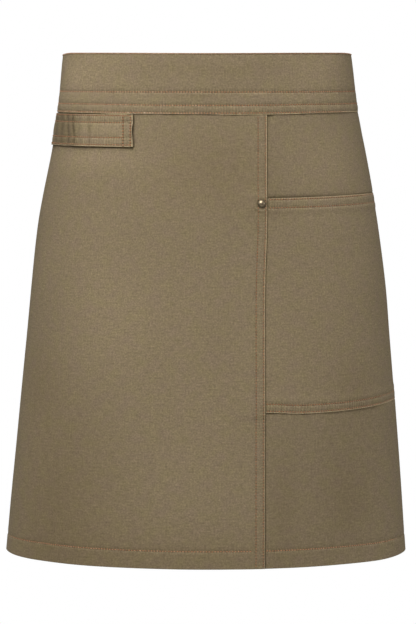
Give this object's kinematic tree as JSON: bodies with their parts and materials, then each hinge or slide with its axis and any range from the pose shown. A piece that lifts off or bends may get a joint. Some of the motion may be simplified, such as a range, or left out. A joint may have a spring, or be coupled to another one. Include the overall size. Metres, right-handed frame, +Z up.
{
  "type": "waist apron",
  "caption": "Half-length twill waist apron in its worn form, with a folded waistband, lapped side seam, patch pocket, hip strap and brass rivet.",
  "frame": {"origin": "centre of the waist opening, half way up the waistband", "axes": "+Z up along the apron's length, -Y towards the front, +X to the right as seen from the front"},
  "size_m": [0.4842, 0.2654, 0.6002],
  "materials": {
    "twill": "olive-brown cotton twill, matt",
    "twill_side": "the same twill, a shade darker",
    "thread": "rust sewing thread",
    "brass": "antique brass, worn bright on the ring"
  },
  "bodies": {
    "root": {"waistband": "twill", "front_panel": "twill", "side_panel": "twill_side", "pocket": "twill", "side_loop": "twill", "back_strap": "twill", "rivet": "brass"}
  },
  "joints": []
}
